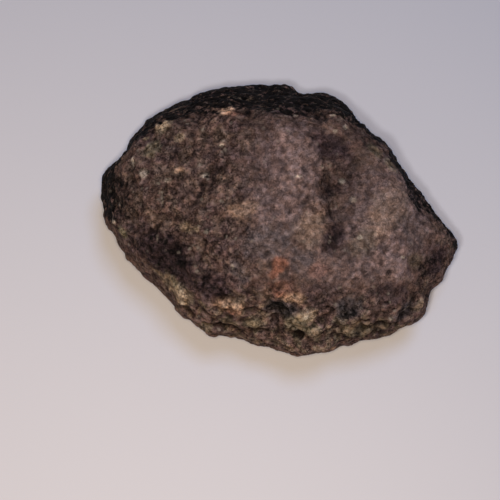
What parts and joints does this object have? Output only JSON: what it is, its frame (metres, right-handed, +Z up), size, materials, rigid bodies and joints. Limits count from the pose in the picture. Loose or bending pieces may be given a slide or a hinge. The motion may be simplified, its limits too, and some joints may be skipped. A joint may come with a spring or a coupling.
{
  "type": "meteorite",
  "caption": "Weathered stony meteorite: a blunt lumpy stone with shallow thumbprints, a broken near flank, and a small flat spot underneath to rest on.",
  "frame": {"origin": "middle of the stone's bounding box, on the surface it rests on", "axes": "+X along the stone's length towards its thinner end, +Y away from the broken flank, +Z up from the flat spot it rests on"},
  "size_m": [0.1006, 0.0788, 0.0427],
  "materials": {
    "weathered_crust": "matte"
  },
  "bodies": {
    "root": {"meteorite": "weathered_crust"}
  },
  "joints": []
}
